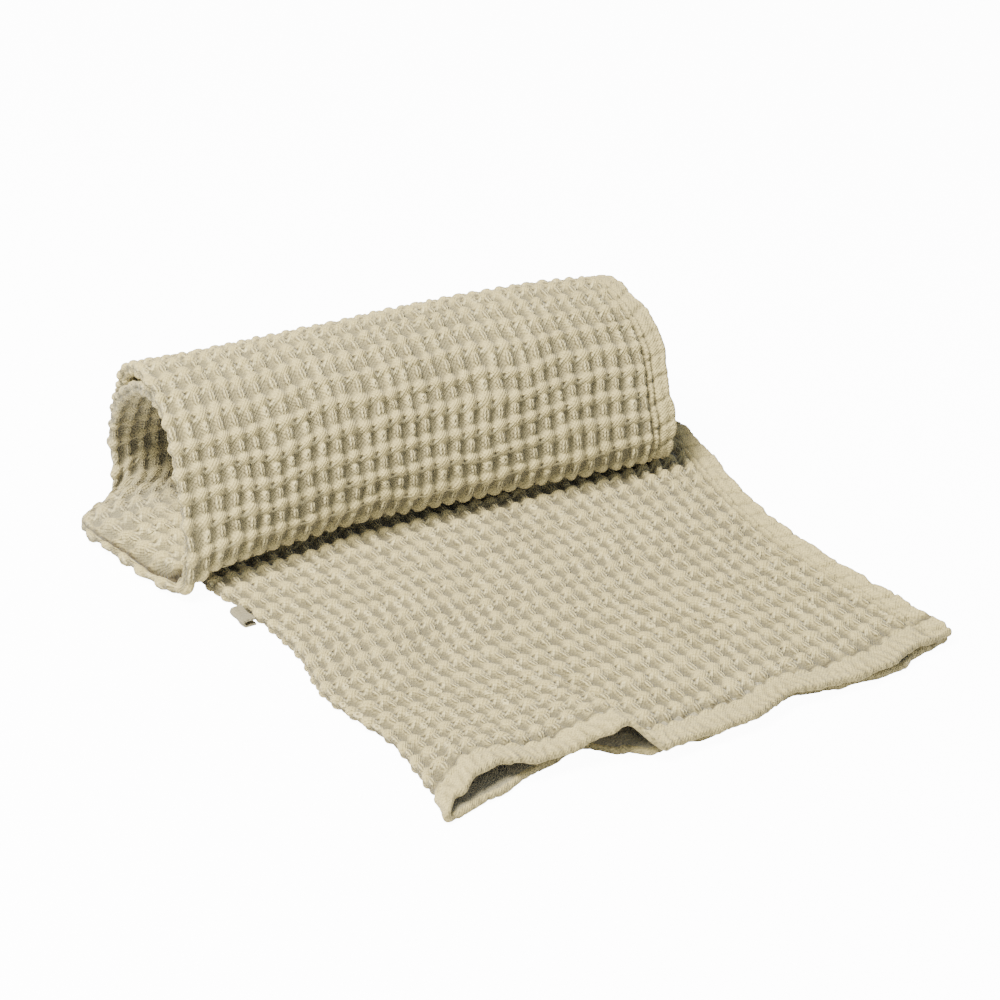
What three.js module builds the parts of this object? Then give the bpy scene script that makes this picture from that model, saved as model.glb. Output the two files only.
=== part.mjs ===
import * as THREE from "three";

// A bath towel of thick honeycomb weave, folded in half along its length, loosely rolled up
// from the far end, with its free end lying flat in front of the roll.
// Millimetres. X runs across the folded towel from its fold to its side hems, Y from the
// front hem back to the roll, and Z up from the surface it lies on.

// The cloth
const foldedWidth = 350;
const towelLength = 1400;
const clothThickness = 3;
const plySpacing = 5.2; // between the middles of the two plies
const foldRadius = plySpacing / 2;
const floorLevel = (plySpacing + clothThickness) / 2; // middle of the doubled cloth, lying flat

// Where the measured layout has the middle of the towel's own box
const layoutMiddle = { x: 147.2, y: 207.4 };

// Middle of the doubled cloth along its fold, from the front hem to the end inside the roll.
// left and right: X of the fold and of the side hems. bow: how far the middle of the width
// lies behind the straight line between them. steps: sections up to the next row.
const windings = [
  { y: -10, z: floorLevel, left: -3, right: 344, bow: 0, steps: 5 }, // front hem
  { y: 60, z: floorLevel, left: 3, right: 336, bow: 0, steps: 2 },
  { y: 120, z: floorLevel, left: -7, right: 329, bow: 0, steps: 1 },
  { y: 175, z: floorLevel, left: 0, right: 330, bow: 0, steps: 1 },
  { y: 235, z: floorLevel, left: -6, right: 340, bow: 0, steps: 1 },
  { y: 270, z: floorLevel, left: -13, right: 347, bow: 0, steps: 1 },
  { y: 330, z: floorLevel, left: -4, right: 348, bow: 0, steps: 1 }, // under the roll
  { y: 400, z: floorLevel, left: 0, right: 342, bow: 0, steps: 1 },
  { y: 424, z: 6, left: -1, right: 338, bow: 0, steps: 2 }, // heel
  { y: 433, z: 17, left: -2, right: 334, bow: 0, steps: 2 },
  { y: 424, z: 38, left: -5, right: 330, bow: 0, steps: 1 }, // back wall
  { y: 413, z: 58, left: -7, right: 327, bow: 0, steps: 1 },
  { y: 398, z: 80, left: -9, right: 323, bow: 0, steps: 1 },
  { y: 377, z: 100, left: -11, right: 319, bow: 0, steps: 2 },
  { y: 349, z: 113, left: -14, right: 319, bow: 0, steps: 2 }, // top
  { y: 323, z: 110, left: -17, right: 318, bow: 0, steps: 2 },
  { y: 304, z: 100, left: -20, right: 319, bow: 0, steps: 1 },
  { y: 289, z: 83, left: -22, right: 318, bow: 2, steps: 1 }, // front wall
  { y: 274, z: 57, left: -25, right: 313, bow: 5, steps: 1 },
  { y: 265, z: 32, left: -29, right: 311, bow: 9, steps: 2 },
  { y: 268, z: 18, left: -33, right: 309, bow: 13, steps: 2 }, // foot
  { y: 285, z: 13.3, left: -37, right: 309, bow: 12, steps: 2 },
  { y: 322, z: 13.3, left: -44, right: 309, bow: 4, steps: 1 }, // bottom of the roll
  { y: 368, z: 13.3, left: -52, right: 309, bow: 0, steps: 2 },
  { y: 396, z: 15, left: -26, right: 309, bow: 0, steps: 2 }, // second heel
  { y: 409, z: 26, left: -19, right: 309, bow: 0, steps: 2 },
  { y: 411, z: 42, left: -16, right: 309, bow: 0, steps: 1 }, // second back wall
  { y: 400.5, z: 59, left: -15, right: 309, bow: 0, steps: 1 },
  { y: 388, z: 77, left: -16, right: 309, bow: 0, steps: 1 },
  { y: 369, z: 92.5, left: -16, right: 309, bow: 0, steps: 2 },
  { y: 347, z: 104, left: -15, right: 309, bow: 0, steps: 2 }, // second top
  { y: 327, z: 100.5, left: -13, right: 309, bow: 0, steps: 2 },
  { y: 311, z: 90, left: -9, right: 309, bow: 0, steps: 1 },
  { y: 298, z: 76, left: -2, right: 309, bow: 2, steps: 1 }, // second front wall
  { y: 285, z: 54, left: 7, right: 309, bow: 5, steps: 1 },
  { y: 277, z: 36, left: 15, right: 309, bow: 9, steps: 2 },
  { y: 281, z: 26, left: 19, right: 309, bow: 12, steps: 2 },
  { y: 296, z: 23, left: 23, right: 309, bow: 10, steps: 1 },
  { y: 335, z: 23, left: 28, right: 309, bow: 3, steps: 1 }, // second bottom
  { y: 375, z: 25, left: 34, right: 309, bow: 0, steps: 2 },
  { y: 396, z: 36, left: 36, right: 309, bow: 0, steps: 1 },
  { y: 390.5, z: 54, left: 36, right: 309, bow: 0, steps: 1 }, // third back wall
  { y: 377, z: 70, left: 36, right: 309, bow: 0, steps: 1 },
  { y: 360, z: 83, left: 36, right: 309, bow: 0, steps: 1 },
  { y: 343, z: 93, left: 36, right: 309, bow: 0, steps: 2 }, // third top
  { y: 328, z: 89, left: 36, right: 309, bow: 0, steps: 1 },
  { y: 308, z: 72, left: 36, right: 309, bow: 2, steps: 1 },
  { y: 294, z: 50, left: 37, right: 309, bow: 4, steps: 1 }, // third front wall
  { y: 294, z: 38, left: 38, right: 309, bow: 6, steps: 2 },
  { y: 310, z: 33, left: 39, right: 309, bow: 4, steps: 1 },
  { y: 362, z: 35, left: 40, right: 309, bow: 2, steps: 1 }, // past the end of the cloth
];
const heelRow = 8; // from here on the cloth belongs to the roll

// The roll at its right end: set forward, and lower above the level where it starts to taper
const rightEnd = { forward: 20, taperLevel: 22, height: 0.88, power: 6 };
const bowPeak = 0.36; // of the width

// Shifts near the fold: at the bottom of the roll the cloth flares out, droops to the surface
// and turns up early along a slanting bend, and at the top its corner stands up a little.
// row: place in the table above. x, y, z fade over width, droop over droopWidth.
const flare = { width: 95, droopWidth: 24 };
const flareRows = [
  { row: 12, x: 0, y: 0, z: 0, droop: 0 },
  { row: 13, x: -1, y: 3, z: 1, droop: 0 },
  { row: 14, x: -1, y: 3, z: 1, droop: 0 },
  { row: 15, x: 0, y: 0, z: 0, droop: 0 },
  { row: 18, x: 0, y: 0, z: 0, droop: 0 },
  { row: 19, x: 0, y: -2, z: 0, droop: -4 },
  { row: 20, x: 0, y: -3, z: 0, droop: -10 },
  { row: 21, x: 0, y: 0, z: 0, droop: -8.5 },
  { row: 22, x: 0, y: 0, z: 0, droop: -8 },
  { row: 23, x: 0, y: 0, z: 0, droop: -6.5 },
  { row: 24, x: 2, y: -6, z: 0, droop: -6 },
  { row: 25, x: 2, y: -10, z: 0, droop: -5 },
  { row: 26, x: 0, y: -8, z: 0, droop: 0 },
  { row: 27, x: 0, y: 0, z: 0, droop: 0 },
];

// The front hem of the upper ply. x: place across. forward: how far it reaches past the
// first winding row. lift: how far it stands off the lower ply. reach: how far back.
const upperHem = [
  { x: 0, forward: 2, lift: 0, reach: 60 },
  { x: 12, forward: -5, lift: 4, reach: 60 },
  { x: 26, forward: -11, lift: 9.5, reach: 65 },
  { x: 38, forward: -13, lift: 9, reach: 70 },
  { x: 52, forward: -11, lift: 8, reach: 70 },
  { x: 66, forward: -8, lift: 5, reach: 75 },
  { x: 82, forward: -6, lift: 5.5, reach: 80 },
  { x: 98, forward: -4, lift: 11, reach: 80 },
  { x: 117, forward: 0, lift: 16, reach: 90 },
  { x: 135, forward: 12, lift: 2, reach: 60 },
  { x: 165, forward: 12, lift: 1, reach: 40 },
  { x: 195, forward: 12, lift: 2, reach: 40 },
  { x: 229, forward: 5, lift: 3, reach: 50 },
  { x: 262, forward: 8, lift: 1, reach: 40 },
  { x: 292, forward: 8, lift: 2, reach: 40 },
  { x: 325, forward: -1, lift: 1.5, reach: 45 },
  { x: 350, forward: -2, lift: 0.5, reach: 45 },
];
const lowerHem = [
  { x: 0, forward: 2 },
  { x: 34, forward: -3 },
  { x: 66, forward: -14 },
  { x: 98, forward: -20 },
  { x: 118, forward: -5 },
  { x: 130, forward: 5 },
  { x: 140, forward: 4 },
  { x: 165, forward: 6 },
  { x: 229, forward: -3 },
  { x: 262, forward: 4 },
  { x: 292, forward: 7 },
  { x: 350, forward: -6 },
];
const hemReach = 120; // over which the hem's in and out evens out

// Distances from the fold at which a section has its points, closer at the pocket of the hem
const acrossStations = [16, 30, 48, 68, 86, 102, 117, 127, 135, 150, 180, 212, 245, 278, 310, 334, 350];

// Hanging loop: a narrow tape bent back on itself, pressed flat, sewn on at the fold
const loop = { front: 219, width: 15, reach: 5, thickness: 1.4, inside: 2.4, gap: 0.3 };
const loopSections = 3;
const loopBendSteps = 4;

const smooth = (t) => t * t * (3 - 2 * t);
const clamp01 = (t) => Math.min(1, Math.max(0, t));

// Value of a table's column at x, eased from row to row
function eased(rows, key, x) {
  if (x <= rows[0].x) return rows[0][key];
  for (let i = 1; i < rows.length; i++) {
    if (x <= rows[i].x) {
      const t = (x - rows[i - 1].x) / (rows[i].x - rows[i - 1].x);
      return rows[i - 1][key] + (rows[i][key] - rows[i - 1][key]) * smooth(t);
    }
  }
  return rows[rows.length - 1][key];
}

// The fold and the side hems as two curves through the winding rows
const foldPoints = windings.map((w) => new THREE.Vector3(w.left, w.y, w.z));
const hemPoints = windings.map((w, i) => {
  const rolled = i >= heelRow ? 1 : 0;
  const above = Math.max(0, w.z - rightEnd.taperLevel);
  const z = rolled ? w.z - above * (1 - rightEnd.height) : w.z;
  return new THREE.Vector3(w.right, w.y - rightEnd.forward * rolled, z);
});
const foldCurve = new THREE.CatmullRomCurve3(foldPoints, false, "centripetal");
const hemCurve = new THREE.CatmullRomCurve3(hemPoints, false, "centripetal");
const lastRow = windings.length - 1;

// A winding column between rows, for a row number with a fraction
function column(key, row) {
  const i = Math.min(Math.floor(row), lastRow - 1);
  return THREE.MathUtils.lerp(windings[i][key], windings[i + 1][key], smooth(row - i));
}

function flareAt(row) {
  const i = flareRows.findIndex((f) => f.row > row);
  const inside = i > 0 && row >= flareRows[0].row;
  const first = inside ? flareRows[i - 1] : flareRows[0];
  const second = inside ? flareRows[i] : flareRows[0];
  const t = inside ? smooth((row - first.row) / (second.row - first.row)) : 0;
  const mix = (key) => first[key] + (second[key] - first[key]) * t;
  return { x: mix("x"), y: mix("y"), z: mix("z"), droop: mix("droop") };
}

// Middle of the doubled cloth at a row number and a distance from the fold
function middleAt(row, across) {
  const share = across / foldedWidth;
  const u = row / lastRow;
  const fold = foldCurve.getPoint(u);
  const hem = hemCurve.getPoint(u);
  const point = fold.clone().lerp(hem, share);
  const taper = Math.pow(clamp01(share), rightEnd.power);
  point.z = fold.z + (hem.z - fold.z) * taper;
  const bow = share < bowPeak ? share / bowPeak : (1 - share) / (1 - bowPeak);
  point.y += column("bow", row) * smooth(clamp01(bow));
  const f = flareAt(row);
  const near = Math.pow(clamp01(1 - across / flare.width), 2);
  const low = smooth(clamp01(1 - across / flare.droopWidth));
  point.x += f.x * near;
  point.y += f.y * near;
  point.z += f.z * near + f.droop * low;
  return point;
}

// Directions of the doubled cloth at a place: across it, and up out of its upper ply
function directionsAt(row, across) {
  const rowStep = 0.05;
  const acrossStep = 2;
  const before = middleAt(Math.max(0, row - rowStep), across);
  const after = middleAt(Math.min(lastRow, row + rowStep), across);
  const outer = middleAt(row, across + acrossStep);
  const inner = middleAt(row, Math.max(0, across - acrossStep));
  const along = after.sub(before).normalize();
  const side = outer.sub(inner).normalize();
  const up = new THREE.Vector3().crossVectors(side, along).normalize();
  return { side, up };
}

// A point of the cloth. width: distance from the fold line, above zero on the upper ply and
// below zero on the lower one. off: distance from the cloth's own middle, outwards.
function clothPoint(row, width, off) {
  const distance = Math.abs(width);
  const ply = width < 0 ? -1 : 1;
  const bendLength = (Math.PI / 2) * foldRadius;
  const angle = Math.min(distance, bendLength) / foldRadius;
  const inFold = foldRadius * (1 - Math.cos(angle));
  const across = inFold + Math.max(0, distance - bendLength);
  const { side, up } = directionsAt(row, across);
  const point = middleAt(row, across);
  const outward = side.clone().multiplyScalar(-Math.cos(angle));
  outward.addScaledVector(up, ply * Math.sin(angle));
  point.addScaledVector(up, ply * foldRadius * Math.sin(angle));
  point.addScaledVector(outward, off);
  if (row < heelRow) addHemWaves(point, across, ply, Math.sin(angle));
  return point;
}

// The uneven front hems, which fade out towards the roll
function addHemWaves(point, across, ply, share) {
  const back = Math.max(0, point.y - windings[0].y);
  const rows = ply > 0 ? upperHem : lowerHem;
  const evened = smooth(clamp01(1 - back / hemReach));
  point.y -= eased(rows, "forward", across) * evened;
  if (ply > 0) {
    const reach = eased(upperHem, "reach", across);
    const fade = smooth(clamp01(1 - back / reach));
    point.z += eased(upperHem, "lift", across) * fade * share;
  }
}

// Row number at which the cloth, measured along the middle of its width, is used up
function endRow() {
  const stepsPerRow = 20;
  let length = 0;
  let before = middleAt(0, foldedWidth / 2);
  for (let k = 1; k <= lastRow * stepsPerRow; k++) {
    const after = middleAt(k / stepsPerRow, foldedWidth / 2);
    length += after.distanceTo(before);
    if (length >= towelLength) return k / stepsPerRow;
    before = after;
  }
  return lastRow;
}

// Row numbers of the solid's sections
function sectionRows() {
  const end = endRow();
  const leastStep = 0.2;
  const rows = [];
  windings.forEach((w, i) => {
    for (let k = 0; k < w.steps; k++) rows.push(i + k / w.steps);
  });
  return [...rows.filter((row) => row < end - leastStep), end];
}

function widthStations() {
  const bendLength = (Math.PI / 2) * foldRadius;
  const upper = [bendLength / 2, bendLength];
  for (const a of acrossStations) upper.push(a - foldRadius + bendLength);
  const lower = upper.map((a) => -a).reverse();
  return [...lower, 0, ...upper];
}

// One closed sheet from a grid of points: pointAt(i, j, off) on both faces, with its four rims
function closedSheet(countI, countJ, thickness, pointAt) {
  const positions = [];
  const indices = [];
  for (const off of [thickness / 2, -thickness / 2]) {
    for (let i = 0; i < countI; i++) {
      for (let j = 0; j < countJ; j++) positions.push(...pointAt(i, j, off).toArray());
    }
  }
  const layer = countI * countJ;
  const at = (i, j, face) => face * layer + i * countJ + j;
  const quad = (a, b, c, d) => indices.push(a, b, c, a, c, d);
  for (let i = 0; i + 1 < countI; i++) {
    for (let j = 0; j + 1 < countJ; j++) {
      quad(at(i, j, 0), at(i, j + 1, 0), at(i + 1, j + 1, 0), at(i + 1, j, 0));
      quad(at(i, j, 1), at(i + 1, j, 1), at(i + 1, j + 1, 1), at(i, j + 1, 1));
    }
    const last = countJ - 1;
    quad(at(i, 0, 0), at(i + 1, 0, 0), at(i + 1, 0, 1), at(i, 0, 1));
    quad(at(i, last, 0), at(i, last, 1), at(i + 1, last, 1), at(i + 1, last, 0));
  }
  for (let j = 0; j + 1 < countJ; j++) {
    const last = countI - 1;
    quad(at(0, j, 0), at(0, j, 1), at(0, j + 1, 1), at(0, j + 1, 0));
    quad(at(last, j, 0), at(last, j + 1, 0), at(last, j + 1, 1), at(last, j, 1));
  }
  const geometry = new THREE.BufferGeometry();
  geometry.setAttribute("position", new THREE.Float32BufferAttribute(positions, 3));
  geometry.setIndex(indices);
  geometry.computeVertexNormals();
  return geometry;
}

function cloth(color) {
  return new THREE.MeshStandardMaterial({ color, roughness: 0.95, metalness: 0 });
}

function named(name, geometry, color) {
  const mesh = new THREE.Mesh(geometry, cloth(color));
  mesh.name = name;
  mesh.position.set(-layoutMiddle.x, -layoutMiddle.y, 0);
  return mesh;
}

function towelCloth() {
  const rows = sectionRows();
  const widths = widthStations();
  const pointAt = (i, j, off) => clothPoint(rows[i], widths[j], off);
  return closedSheet(rows.length, widths.length, clothThickness, pointAt);
}

// X of the fold line at a place on the free part
function foldEdgeAt(y) {
  const places = windings.slice(0, heelRow).map((w) => ({ x: w.y, edge: w.left }));
  return eased(places, "edge", y);
}

// The tape's middle, from its end on the surface, round the bend to its upper end
function loopProfile() {
  const radius = (loop.inside + loop.thickness) / 2;
  const level = radius + loop.thickness / 2;
  const endAt = (height) => {
    const rise = Math.max(0, Math.abs(height - floorLevel) - loop.thickness / 2);
    return { out: loop.gap - floorLevel + Math.sqrt(floorLevel ** 2 - rise ** 2), z: height };
  };
  const points = [endAt(level - radius)];
  for (let k = 0; k <= loopBendSteps; k++) {
    const angle = (Math.PI * k) / loopBendSteps - Math.PI / 2;
    const out = loop.reach - radius + radius * Math.cos(angle);
    points.push({ out, z: level + radius * Math.sin(angle) });
  }
  points.push(endAt(level + radius));
  return points;
}

function hangingLoop() {
  const profile = loopProfile();
  const normals = profile.map((p, j) => {
    const before = profile[Math.max(0, j - 1)];
    const after = profile[Math.min(profile.length - 1, j + 1)];
    return new THREE.Vector2(after.z - before.z, before.out - after.out).normalize();
  });
  const pointAt = (i, j, off) => {
    const y = loop.front + (loop.width * i) / loopSections;
    const out = profile[j].out + normals[j].x * off;
    const x = foldEdgeAt(y) - clothThickness / 2 - out;
    return new THREE.Vector3(x, y, profile[j].z + normals[j].y * off);
  };
  return closedSheet(loopSections + 1, profile.length, loop.thickness, pointAt);
}

const towel = new THREE.Group();
towel.add(named("towel_cloth", towelCloth(), 0xc4ba9c));
towel.add(named("hanging_loop", hangingLoop(), 0xbfb697));

export default towel;
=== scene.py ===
import bpy
import math
import numpy as np
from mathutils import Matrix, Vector


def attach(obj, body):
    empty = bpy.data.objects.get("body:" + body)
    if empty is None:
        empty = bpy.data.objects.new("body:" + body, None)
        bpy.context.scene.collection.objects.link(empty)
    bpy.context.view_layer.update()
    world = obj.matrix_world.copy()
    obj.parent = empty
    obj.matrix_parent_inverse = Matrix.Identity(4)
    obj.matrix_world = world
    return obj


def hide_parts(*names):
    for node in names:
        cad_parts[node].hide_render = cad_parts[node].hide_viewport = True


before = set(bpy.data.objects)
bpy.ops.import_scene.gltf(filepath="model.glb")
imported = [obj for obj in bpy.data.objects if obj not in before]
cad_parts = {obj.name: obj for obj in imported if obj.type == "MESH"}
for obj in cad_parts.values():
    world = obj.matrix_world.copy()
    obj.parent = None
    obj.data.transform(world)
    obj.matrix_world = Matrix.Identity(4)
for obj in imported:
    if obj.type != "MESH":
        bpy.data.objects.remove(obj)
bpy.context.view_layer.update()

# Millimetres, in the layout that the roll was measured in; finished meshes are moved to the
# frame's origin and turned into metres.

cloth = {
    "foldedWidth": 350.0,
    "length": 1400.0,
    "plySpacing": 5.2,        # between the middles of the two plies
    "middleX": 147.2,         # where the layout has the middle of the towel's box
    "middleY": 207.4,
    "heelRow": 8,             # from here on the cloth belongs to the roll
    "bowPeak": 0.36,          # of the width
    "rightForward": 20.0,     # the roll's right end is set forward
    "rightTaper": 22.0,       # and lower above this level
    "rightHeight": 0.88,
    "rightPower": 6,          # how late across the width it drops
    "flareWidth": 95.0,       # how far the flare at the fold's end reaches across
    "droopWidth": 24.0,
    "lowest": 0.05,           # nothing lies lower over the surface
    "hemReach": 120.0,        # how far back the front hems' unevenness dies out
    "rimRadius": 2.5,
    "edgeWave": 1.4,
}
foldRadius = cloth["plySpacing"] / 2
rimEnd = math.pi * cloth["rimRadius"]             # a sheet has turned round its rim here

# Middle of the doubled cloth along its fold, from the front hem to the end inside the roll:
# y, z, x of the fold, x of the side hems, how far the middle of the width lies behind
windings = np.array([
    (-10, 4.1, -3, 344, 0),       # 0 front hem
    (60, 4.1, 3, 336, 0),
    (120, 4.1, -7, 329, 0),
    (175, 4.1, 0, 330, 0),
    (235, 4.1, -6, 340, 0),
    (270, 4.1, -13, 347, 0),
    (330, 4.1, -4, 348, 0),       # 6 under the roll
    (400, 4.1, 0, 342, 0),
    (424, 6, -1, 338, 0),         # 8 heel
    (433, 17, -2, 334, 0),
    (424, 38, -5, 330, 0),        # 10 back wall
    (413, 58, -7, 327, 0),
    (398, 80, -9, 323, 0),
    (377, 100, -11, 319, 0),
    (349, 113, -14, 319, 0),      # 14 top
    (323, 110, -17, 318, 0),
    (304, 100, -20, 319, 0),
    (289, 83, -22, 318, 2),       # 17 front wall
    (274, 57, -25, 313, 5),
    (265, 32, -29, 311, 9),
    (268, 18, -33, 309, 13),      # 20 foot
    (285, 13.3, -37, 309, 12),
    (322, 13.3, -44, 309, 4),     # 22 bottom of the roll
    (368, 13.3, -52, 309, 0),
    (396, 15, -26, 309, 0),       # 24 second heel
    (409, 26, -19, 309, 0),
    (411, 42, -16, 309, 0),        # 26 second back wall
    (400.5, 59, -15, 309, 0),
    (388, 77, -16, 309, 0),
    (369, 92.5, -16, 309, 0),
    (347, 104, -15, 309, 0),      # 30 second top
    (327, 100.5, -13, 309, 0),
    (311, 90, -9, 309, 0),
    (298, 76, -2, 309, 2),        # 33 second front wall
    (285, 54, 7, 309, 5),
    (277, 36, 15, 309, 9),
    (281, 26, 19, 309, 12),
    (296, 23, 23, 309, 10),
    (335, 23, 28, 309, 3),        # 38 second bottom
    (375, 25, 34, 309, 0),
    (396, 36, 36, 309, 0),
    (390.5, 54, 36, 309, 0),      # 41 third back wall
    (377, 70, 36, 309, 0),
    (360, 83, 36, 309, 0),
    (343, 93, 36, 309, 0),        # 44 third top
    (328, 89, 36, 309, 0),
    (308, 72, 36, 309, 2),
    (294, 50, 37, 309, 4),        # 47 third front wall
    (294, 38, 38, 309, 6),
    (310, 33, 39, 309, 4),
    (362, 35, 40, 309, 2),        # 50 past the end of the cloth
], dtype=float)
lastRow = len(windings) - 1

# Shifts near the fold: winding row, x, y, z, and the droop to the surface
flareRows = np.array([
    (12, 0, 0, 0, 0),
    (13, -1, 3, 1, 0),
    (14, -1, 3, 1, 0),
    (15, 0, 0, 0, 0),
    (18, 0, 0, 0, 0),
    (19, 0, -2, 0, -4),
    (20, 0, -3, 0, -10),
    (21, 0, 0, 0, -8.5),
    (22, 0, 0, 0, -8),
    (23, 0, 0, 0, -6.5),
    (24, 2, -6, 0, -6),
    (25, 2, -10, 0, -5),
    (26, 0, -8, 0, 0),
    (27, 0, 0, 0, 0),
], dtype=float)

# Front hems: place across, reach forward, and for the upper ply its lift and how far back it goes
upperHem = np.array([
    (0, 2, 0, 60),
    (12, -5, 4, 60),
    (26, -11, 9.5, 65),
    (38, -13, 9, 70),
    (52, -11, 8, 70),
    (66, -8, 5, 75),
    (82, -6, 5.5, 80),
    (98, -4, 11, 80),
    (117, 0, 16, 90),
    (135, 12, 2, 60),
    (165, 12, 1, 40),
    (195, 12, 2, 40),
    (229, 5, 3, 50),
    (262, 8, 1, 40),
    (292, 8, 2, 40),
    (325, -1, 1.5, 45),
    (350, -2, 0.5, 45),
], dtype=float)
lowerHem = np.array([
    (0, 2),
    (34, -3),
    (66, -14),
    (98, -20),
    (118, -5),
    (130, 5),
    (140, 4),
    (165, 6),
    (229, -3),
    (262, 4),
    (292, 7),
    (350, -6),
], dtype=float)


def smooth(t):
    t = np.clip(t, 0, 1)
    return t * t * (3 - 2 * t)


def eased(table, column, x):  # a column of a table, eased from row to row by its first column
    places = table[:, 0]
    i = np.clip(np.searchsorted(places, x, side="right") - 1, 0, len(places) - 2)
    t = smooth((x - places[i]) / (places[i + 1] - places[i]))
    return table[i, column] + (table[i + 1, column] - table[i, column]) * t


def throughPoints(points, row):  # a centripetal curve through the points, by row number
    last = len(points) - 1
    i = np.clip(np.floor(row).astype(int), 0, last - 1)
    w = (row - i)[:, None]
    first = np.where((i > 0)[:, None], points[np.maximum(i - 1, 0)], 2 * points[0] - points[1])
    after = np.where(
        (i + 2 <= last)[:, None],
        points[np.minimum(i + 2, last)],
        2 * points[last] - points[last - 1],
    )
    a, b = points[i], points[i + 1]

    def spacing(p, q):
        return np.sum((p - q) ** 2, axis=1)[:, None] ** 0.25

    d0, d1, d2 = spacing(first, a), spacing(a, b), spacing(b, after)
    t1 = ((a - first) / d0 - (b - first) / (d0 + d1) + (b - a) / d1) * d1
    t2 = ((b - a) / d1 - (after - a) / (d1 + d2) + (after - b) / d2) * d1
    return a + t1 * w + (3 * (b - a) - 2 * t1 - t2) * w ** 2 + (2 * (a - b) + t1 + t2) * w ** 3


foldPoints = windings[:, [2, 0, 1]]
rolled = (np.arange(lastRow + 1) >= cloth["heelRow"]).astype(float)
above = np.maximum(0, windings[:, 1] - cloth["rightTaper"])
hemPoints = np.stack([
    windings[:, 3],
    windings[:, 0] - cloth["rightForward"] * rolled,
    windings[:, 1] - above * (1 - cloth["rightHeight"]) * rolled,
], axis=1)


def middleAt(row, across):  # middle of the doubled cloth; row (n,), across (m,)
    share = across / cloth["foldedWidth"]
    fold = throughPoints(foldPoints, row)[:, None, :]
    hem = throughPoints(hemPoints, row)[:, None, :]
    point = fold + (hem - fold) * share[None, :, None]
    taper = np.clip(share, 0, 1) ** cloth["rightPower"]
    point[..., 2] = fold[..., 2] + (hem[..., 2] - fold[..., 2]) * taper[None, :]
    peak = cloth["bowPeak"]
    bow = np.where(share < peak, share / peak, (1 - share) / (1 - peak))
    i = np.clip(np.floor(row).astype(int), 0, lastRow - 1)
    t = smooth(row - i)
    rowBow = windings[i, 4] + (windings[i + 1, 4] - windings[i, 4]) * t
    point[..., 1] += rowBow[:, None] * smooth(bow)[None, :]
    near = np.clip(1 - across / cloth["flareWidth"], 0, 1) ** 2
    low = smooth(1 - across / cloth["droopWidth"])
    for axis in range(3):
        point[..., axis] += eased(flareRows, axis + 1, row)[:, None] * near[None, :]
    point[..., 2] += eased(flareRows, 4, row)[:, None] * low[None, :]
    return point


def unit(v):
    return v / np.maximum(np.linalg.norm(v, axis=-1, keepdims=True), 1e-9)


# Length along the cloth at each row number, and back
rowTable = np.linspace(0, lastRow, lastRow * 40 + 1)
midLine = middleAt(rowTable, np.array([cloth["foldedWidth"] / 2]))[:, 0, :]
lengthTable = np.concatenate([[0], np.cumsum(np.linalg.norm(np.diff(midLine, axis=0), axis=1))])


def rowAt(length):
    return np.interp(length, lengthTable, rowTable)


# The honeycomb: pits between lengthwise ridges of floating threads and crossing bands
weave = {
    "cellAcross": 350 / 33,
    "cellAlong": 15.5,
    "driftAcross": 0.16,      # slow wander of the cells' places, in cells
    "driftAlong": 0.18,
    "jitterAcross": 0.10,     # and from one cell to the next
    "jitterAlong": 0.08,
    "sizeSpread": 0.16,
    "riseSpread": 0.12,
    "pit": -2.4,              # floor of a pit, from the ply's middle
    "knobRise": 5.0,          # the rest over that floor
    "knobAcross": 5.1,
    "knobAlong": 5.2,
    "knobCorner": 1.5,        # between a diamond, 1, and an ellipse, 2
    "bandRise": 1.9,
    "bandAlong": 2.8,
    "bowlRise": 1.0,
    "bowlAlong": 5.2,
    "floatRise": 3.8,
    "floatAcross": 2.9,
    "floatAlong": 4.5,
    "laidTo": 440.0,          # the cloth lies flat from its front hem to here
    "pressed": 0.2,           # how much flatter it is there
    "puffed": 0.7,            # but its side hem stands up again beside the roll
    "puffedPlace": 285.0,     # both across and along
    "hiddenFrom": 770.0,      # from here on it lies inside the roll
    "backPit": -0.3,          # the cloth's other face, from its hems
    "backKnob": 0.7,
    "seed": 7,
}
# The hems: a gathered roll at the front, a row of beads and a padded edge at the sides
hems = {
    "front": 16.0,            # widths of these plain bands
    "side": 14.0,
    "join": 1.2,              # half the width over which the cells end
    "rise": 1.5,              # over the ply's middle
    "edge": 4.0,              # the last part turns down to the rim
    "lumps": 0.7,
    "fineLumps": 0.5,
    "grooveDepth": 2.4,       # between the hem and the cells
    "grooveSpread": 0.9,
    "gatherSpacing": 6.2,
    "gatherReach": 0.2,       # of that spacing
    "gatherDepth": 1.2,
    "trenchFromHem": 4.0,
    "trenchReach": 1.9,
    "beadFromRim": 11.4,
    "beadReach": 1.9,
    "seamFromRim": 9.1,       # between the beads and the padded edge
    "seamReach": 0.7,
    "seamDepth": 0.7,
    "padFromRim": 3.9,
    "padReach": 4.2,
    "padBase": -0.6,
    "padLumps": 1.2,
    "dentDepth": 1.9,         # slanting, once a cell in the side hems
    "dentReach": 0.10,        # of a cell
    "crimpPlace": 946.0,      # along the fold, where it shows in the roll's mouth
    "crimpReach": 34.0,
    "rimReach": 4.5,          # how far the front rim's stitches come over the hem
    "rimReachBehind": 12.0,
    "sideRimReach": 7.0,
}
random = np.random.default_rng(weave["seed"])
lattice = random.uniform(-1, 1, (8, 96, 256))


def unevenness(layer, u, v):  # soft seeded noise, one wave in about two units
    i, j = np.floor(u).astype(int), np.floor(v).astype(int)
    a, b = smooth(u - i), smooth(v - j)
    g = lattice[layer]
    i0, i1, j0, j1 = i % 96, (i + 1) % 96, j % 256, (j + 1) % 256
    low = g[i0, j0] * (1 - a) + g[i1, j0] * a
    high = g[i0, j1] * (1 - a) + g[i1, j1] * a
    return low * (1 - b) + high * b


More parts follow.
